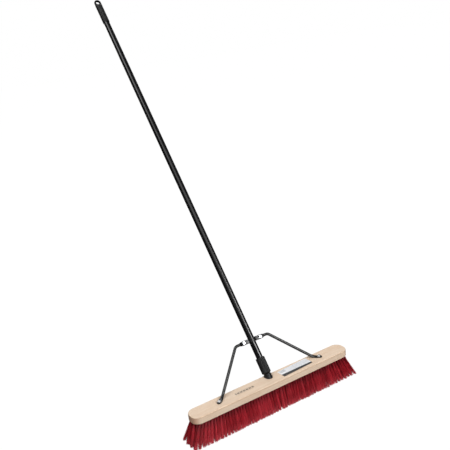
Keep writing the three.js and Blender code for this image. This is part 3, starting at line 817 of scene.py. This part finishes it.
def end_width(distance, half):
    """Half the width of a strip with a round end, at a distance from that end."""
    if distance >= half:
        return half
    return math.sqrt(max(half ** 2 - (half - distance) ** 2, (0.12 * half) ** 2))


def clamp_strap(finish, node, side):
    low, high = extent(node, HANDLE)
    tube = extent("handle_tube", HANDLE)[1].x
    reach = high.x
    near = FLAT_THICKNESS / 2 + 0.3 * MM + STRAP_THICKNESS / 2
    radius = tube + 0.3 * MM + STRAP_THICKNESS / 2
    half = (high.z - low.z) / 2
    start = math.degrees(math.asin(near / radius)) + 6
    flange = [reach - half * (1 - math.cos(math.radians(90 * i / 7))) for i in range(8)]
    flange += [reach - half - (reach - half - radius - 1.4 * MM) * i / 5 for i in range(1, 6)]
    bow = arc((0, 0), radius, start, 180 - start, 22)
    path = [(x, near) for x in flange] + bow + [(-x, near) for x in reversed(flange)]
    rings = []
    for i, (x, y) in enumerate(path):
        before, after = path[max(i - 1, 0)], path[min(i + 1, len(path) - 1)]
        along = Vector((after[0] - before[0], after[1] - before[1])).normalized()
        out = Vector((along.y, -along.x))
        width = end_width(reach - abs(x), half)
        section = rounded_rectangle(2 * width, STRAP_THICKNESS, min(0.5 * MM, width * 0.4), 3)
        rings.append([(x + out.x * t, y + out.y * t, (low.z + high.z) / 2 + w) for w, t in section])
    strap = skin(rings)
    if side < 0:
        strap.transform(Matrix.Rotation(math.pi, 4, "Z"))
    made = new_object(node.replace("clamp_strap", "clamp_half"), strap, HANDLE)
    for label in ("left", "right"):
        middle = bolt_middle(label)
        cut(made, bar(BOLT_RADIUS + HOLE_PLAY, HANDLE @ (middle - Vector((0, 0.02, 0))),
                      HANDLE @ (middle + Vector((0, 0.02, 0)))))
    finish_piece(made, finish, "black_steel", "head", node)


def bolt_middle(label):
    """Where a clamp bolt's axis crosses the plane of the brace arms, in the handle's frame."""
    low, high = extent(f"clamp_bolt_{label}", HANDLE)
    return Vector(((low.x + high.x) / 2, 0, (low.z + high.z) / 2))


def screw_middle(label):
    low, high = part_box(f"foot_screw_{label}")
    return Vector(((low.x + high.x) / 2, (low.y + high.y) / 2, 0))


def bent_line(points, reach, steps=10):
    """Points along a line through corners, each corner rounded over a reach to both sides."""
    line = [points[0]]
    for before, corner, after in zip(points, points[1:], points[2:]):
        start = corner + (before - corner).normalized() * reach
        end = corner + (after - corner).normalized() * reach
        for i in range(steps + 1):
            t = i / steps
            line.append(start * (1 - t) ** 2 + corner * 2 * t * (1 - t) + end * t * t)
    return line + [points[-1]]


def resampled(line, spacing):
    """The same line with its long stretches divided."""
    points = [line[0]]
    for start, end in zip(line, line[1:]):
        pieces = max(1, round((end - start).length / spacing))
        points += [start.lerp(end, i / pieces) for i in range(1, pieces + 1)]
    return points


def arm_line(label):
    """The middle line of a brace arm, from the tip of its eye to the tip of its foot, and where its
    foot screw stands."""
    side = -1 if label == "left" else 1
    bolt, screw = bolt_middle(label), screw_middle(label)
    rest = TOP + 0.3 * MM
    bend = HANDLE @ Vector((side * ARM_BEND_X, 0, bolt.z))
    foot = Vector((screw.x, screw.y, rest + FLAT_THICKNESS / 2))
    plan = (foot - bend).xy.normalized().to_3d()
    foot_bend = foot - plan * FOOT_BEND_BACK
    foot_bend.z = rest + ROD_RADIUS
    eye_tip = HANDLE @ (bolt - Vector((side * EYE_TIP, 0, 0)))
    corners = [eye_tip, bend, foot_bend, foot - plan * FOOT_LANDING, foot + plan * FOOT_TIP]
    return resampled(bent_line(corners, BEND_REACH), 2 * MM), foot


def brace_arm(finish, label):
    """A round rod pressed flat at both ends: an eye for the clamp bolt and a foot for the screw."""
    side = -1 if label == "left" else 1
    line, foot = arm_line(label)
    lengths = [0.0]
    for start, end in zip(line, line[1:]):
        lengths.append(lengths[-1] + (end - start).length)
    half = FLAT_WIDTH / 2
    eye_width = HANDLE.to_3x3() @ Vector((0, 0, 1))
    foot_width = (line[-1] - line[-2]).normalized().cross(Vector((0, 0, 1)))
    rings = []
    for i, centre in enumerate(line):
        along = (line[min(i + 1, len(line) - 1)] - line[max(i - 1, 0)]).normalized()
        from_eye, from_foot = lengths[i], lengths[-1] - lengths[i]
        near = min(from_eye - EYE_FLAT, from_foot - FOOT_FLAT)
        share = min(1.0, max(0.0, near / SQUEEZE))
        share = share * share * (3 - 2 * share)
        to_foot = min(1.0, max(0.0, lengths[i] / lengths[-1] * 3 - 1))
        wide = eye_width.lerp(foot_width * side, to_foot)
        wide = (wide - along * wide.dot(along)).normalized()
        thick = along.cross(wide)
        flat = end_width(min(from_eye, from_foot), half)
        a = flat + (ROD_RADIUS - flat) * share
        b = FLAT_THICKNESS / 2 + (ROD_RADIUS - FLAT_THICKNESS / 2) * share
        power = 2 / (5 - 3 * share)
        ring = []
        for j in range(28):
            angle = FULL_TURN * j / 28
            u = math.copysign(abs(math.cos(angle)) ** power, math.cos(angle)) * a
            v = math.copysign(abs(math.sin(angle)) ** power, math.sin(angle)) * b
            ring.append(centre + wide * u + thick * v)
        rings.append(ring)
    made = new_object(f"bent_arm_{label}", skin(rings))
    bolt, across = bolt_middle(label), Vector((0, 0.02, 0))
    cut(made, bar(BOLT_RADIUS + HOLE_PLAY, HANDLE @ (bolt - across), HANDLE @ (bolt + across)),
        bar(SCREW_RADIUS + HOLE_PLAY, foot - Vector((0, 0, 0.01)), foot + Vector((0, 0, 0.02))))
    finish_piece(made, finish, "black_steel", "head", f"brace_arm_{label}", sharp=50)


# ---------------------------------------------------------------- fasteners

def hex_radius(angle, most):
    """Radius of a hexagon with its corners turned down to a circle."""
    sixth = FULL_TURN / 6
    off = (angle + sixth / 2) % sixth - sixth / 2
    return min(HEX_ACROSS / 2 / math.cos(off), most)


def through_clamp(label):
    """The place of a clamp bolt, with z along the bolt."""
    return HANDLE @ Matrix.Translation(bolt_middle(label)) @ Matrix.Rotation(math.radians(-90), 4, "X")


def hex_bolt(finish, label):
    low, high = extent(f"clamp_bolt_{label}", HANDLE)
    start, end = low.y, high.y
    seat = start + BOLT_HEAD
    thread_start, thread_end = end - 11 * MM, end - 0.8 * MM
    rows = round((thread_end - thread_start) / BOLT_PITCH * 6)
    head = [(0.3 * MM, start), (HEX_ACROSS * 0.36, start), (HEX_FACE, start + 0.15 * MM),
            (HEX_CORNER, start + 1 * MM), (HEX_CORNER, seat - 0.3 * MM), (HEX_FACE, seat)]
    profile = [*head, (BOLT_RADIUS, seat), *straight(BOLT_RADIUS, thread_start, thread_end, rows),
               (BOLT_RADIUS * 0.72, end), (0.3 * MM, end)]

    def surface(angle, radius, height):
        if height <= seat and radius > HEX_ACROSS * 0.4:
            return hex_radius(angle, radius)
        if radius == BOLT_RADIUS and height > thread_start:
            return thread_radius(angle, height, BOLT_RADIUS * 0.87, BOLT_RADIUS, pitch=BOLT_PITCH)
        return radius

    bolt = new_object(f"hex_bolt_{label}", turned(profile, 48, radius_at=surface), through_clamp(label))
    finish_piece(bolt, finish, "bright_zinc", "head", f"clamp_bolt_{label}", sharp=25)


def hex_nut(finish, label):
    low, high = extent(f"clamp_nut_{label}", HANDLE)
    bore = BOLT_RADIUS + 0.05 * MM
    profile = [(bore, low.y + 0.5 * MM), (bore + 0.5 * MM, low.y), (HEX_FACE, low.y),
               (HEX_CORNER, low.y + 0.8 * MM), (HEX_CORNER, high.y - 0.8 * MM), (HEX_FACE, high.y),
               (bore + 0.5 * MM, high.y), (bore, high.y - 0.5 * MM)]

    def surface(angle, radius, _):
        return hex_radius(angle, radius) if radius > HEX_ACROSS * 0.4 else radius

    nut = new_object(f"hex_nut_{label}", turned(profile, 48, True, surface), through_clamp(label))
    finish_piece(nut, finish, "bright_zinc", "head", f"clamp_nut_{label}", sharp=25)


def lock_washer(finish, label):
    """A split ring that rises a little from one of its ends to the other."""
    low, high = extent(f"clamp_washer_{label}", HANDLE)
    inner, outer = BOLT_RADIUS + HOLE_PLAY, HEX_ACROSS / 2 - 0.2 * MM
    radius, level = (inner + outer) / 2, (low.y + high.y) / 2
    section = rounded_rectangle(outer - inner, high.y - low.y - 0.3 * MM, 0.2 * MM, 2)
    steps = 56
    rings = []
    for i in range(steps + 1):
        angle = math.radians(4 + 350 * i / steps)
        rise = 0.15 * MM * (i / steps - 0.5)
        rings.append([((radius + x) * math.cos(angle), (radius + x) * math.sin(angle), level + rise + y)
                      for x, y in section])
    washer = new_object(f"lock_washer_{label}", skin(rings), through_clamp(label))
    finish_piece(washer, finish, "bright_zinc", "head", f"clamp_washer_{label}", sharp=50)


def flat_washer(finish, label):
    low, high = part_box(f"foot_washer_{label}")
    outer, inner, edge = (high.x - low.x) / 2, SCREW_RADIUS + HOLE_PLAY, 0.25 * MM
    profile = [(inner, low.z), (outer - edge, low.z), (outer, low.z + edge), (outer, high.z - edge),
               (outer - edge, high.z), (inner + edge, high.z), (inner, high.z - edge)]
    place = Matrix.Translation(screw_middle(label))
    washer = new_object(f"flat_washer_{label}", turned(profile, 48, loop=True), place)
    finish_piece(washer, finish, "bright_zinc", "head", f"foot_washer_{label}", sharp=50)


def pan_head_screw(finish, label):
    """A wood screw with a domed head and a cross recess."""
    place = Matrix.Translation(screw_middle(label))
    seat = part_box(f"foot_washer_{label}")[1].z + 0.3 * MM
    low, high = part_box(f"foot_screw_{label}")
    head = (high.x - low.x) / 2
    rise = high.z - seat
    core, point, neck = SCREW_RADIUS * 0.72, low.z + 5 * MM, seat - 1 * MM
    rows = round((neck - point) / SCREW_PITCH * 10)
    dome = [(head * math.cos(a), high.z - rise * 0.6 * (1 - math.sin(a)))
            for a in (math.radians(90 * i / 7) for i in range(7))]
    profile = [(0.2 * MM, low.z), (core * 0.8, point - 0.6 * MM),
               *straight(SCREW_RADIUS, point, neck, rows), (SCREW_RADIUS, seat),
               (head - 0.3 * MM, seat), (head, seat + 0.3 * MM), *dome]

    def surface(angle, radius, height):
        if radius == SCREW_RADIUS and point <= height < neck:
            return thread_radius(angle, height, core, SCREW_RADIUS, pitch=SCREW_PITCH)
        return radius

    screw = new_object(f"pan_head_screw_{label}", turned(profile, 40, radius_at=surface), place)
    for turn in (25, 115):
        wide, narrow, deep = 2.5 * MM, 1.1 * MM, 2 * MM
        levels = ((wide, 0.55 * MM, 1 * MM), (wide, 0.55 * MM, 0.0), (narrow, 0.3 * MM, -deep))
        recess = skin([[(a * x, b * y, high.z + z) for a, b in ((1, 1), (-1, 1), (-1, -1), (1, -1))]
                       for x, y, z in levels])
        recess.transform(place @ Matrix.Rotation(math.radians(turn), 4, "Z"))
        cut(screw, recess)
    finish_piece(screw, finish, "bright_zinc", "head", f"foot_screw_{label}", sharp=40)


# ---------------------------------------------------------------- the studio

def stage_floor():
    """A wide floor that looks white and is dim to the broom, so that its gloss stays black at the edges."""
    material, tree, shader = new_material("studio_floor", Roughness=0.9)
    seen = add(tree, "LightPath").outputs["Is Camera Ray"]
    wire(tree, shader, Base_Color=colour("#303030"), Specular_IOR_Level=0.0,
         Emission_Color=colour("#FFFFFF"), Emission_Strength=seen)
    half, depth = 14.0, -1.5 * MM
    mesh = bmesh.new()
    signs = ((-1, -1), (1, -1), (1, 1), (-1, 1))
    mesh.faces.new([mesh.verts.new((x * half, y * half, depth)) for x, y in signs])
    floor = new_object("studio_floor", mesh)
    floor.data.materials.append(material)


def direction(azimuth, elevation):
    """The way to a place round the broom: azimuth 0 is the front, 90 the right."""
    a, e = math.radians(azimuth), math.radians(elevation)
    return Vector((math.sin(a) * math.cos(e), -math.cos(a) * math.cos(e), math.sin(e)))


def soft_light(name, azimuth, elevation, size, watts):
    """A rectangular soft box that looks at the underside of the block."""
    back = direction(azimuth, elevation)
    data = bpy.data.lights.new(name, "AREA")
    data.shape = "RECTANGLE"
    data.size, data.size_y = size
    data.energy = watts
    lamp = bpy.data.objects.new(name, data)
    lamp.location = Vector((0, 0, UNDERSIDE)) + back * LIGHT_DISTANCE
    lamp.rotation_mode = "QUATERNION"
    lamp.rotation_quaternion = (-back).to_track_quat("-Z", "Y")
    bpy.context.scene.collection.objects.link(lamp)


def studio():
    stage_floor()
    # A narrow low box and a wide high one draw the two stripes on the handle; the others fill.
    soft_light("front_strip", 21, 35, (1.7, 2.1), 200)
    soft_light("wide_box", -30, 55, (7, 2), 68)
    soft_light("left_box", -106, 65, (4, 3), 145)
    soft_light("back_box", 150, 46, (5, 3), 65)
    soft_light("low_fill", -22, 8, (3, 2), 135)
    soft_light("back_fill", 172, 14, (4, 2), 70)
    world = bpy.data.worlds.new("studio_air")
    world.use_nodes = True
    tree = world.node_tree
    seen = add(tree, "LightPath").outputs["Is Camera Ray"]
    strength = add(tree, "Math MULTIPLY_ADD", seen, 1.0 - AIR, AIR)
    wire(tree, tree.nodes["Background"], Color=colour("#FFFFFF"), Strength=strength)
    bpy.context.scene.world = world
    bpy.context.scene.view_settings.view_transform = "Standard"


def camera():
    data = bpy.data.cameras.new("camera")
    data.sensor_width = 36
    data.lens = CAMERA_LENS
    made = bpy.data.objects.new("camera", data)
    made.location = Vector((0, 0, TOP)) + CAMERA_FROM_BLOCK
    made.rotation_mode = "QUATERNION"
    roll = Quaternion((0, 0, 1), math.radians(CAMERA_ROLL))
    aim = -direction(CAMERA_AZIMUTH, CAMERA_ELEVATION)
    made.rotation_quaternion = aim.to_track_quat("-Z", "Y") @ roll
    bpy.context.scene.collection.objects.link(made)
    bpy.context.scene.camera = made


camera()
studio()

wood = beech()
filament = red_filament()
tube_enamel = enamel("black_enamel_gloss", "#0B0B0C", "#141415", 0.2)
arm_enamel = enamel("black_enamel_satin", "#070708", "#121213", 0.32)
plastic = moulded_plastic()
zinc = zinc_plate()
paper = coated_paper(*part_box("paper_label"))

wood_block(wood)
bristle_rows(filament)
paper_label(paper)
handle_tube(tube_enamel)
ferrule(plastic)
foot_collar(plastic)
hanger_cap(plastic)
clamp_strap(arm_enamel, "clamp_strap_front", -1)
clamp_strap(arm_enamel, "clamp_strap_rear", 1)
for label in ("left", "right"):
    brace_arm(arm_enamel, label)
    hex_bolt(zinc, label)
    hex_nut(zinc, label)
    lock_washer(zinc, label)
    flat_washer(zinc, label)
    pan_head_screw(zinc, label)
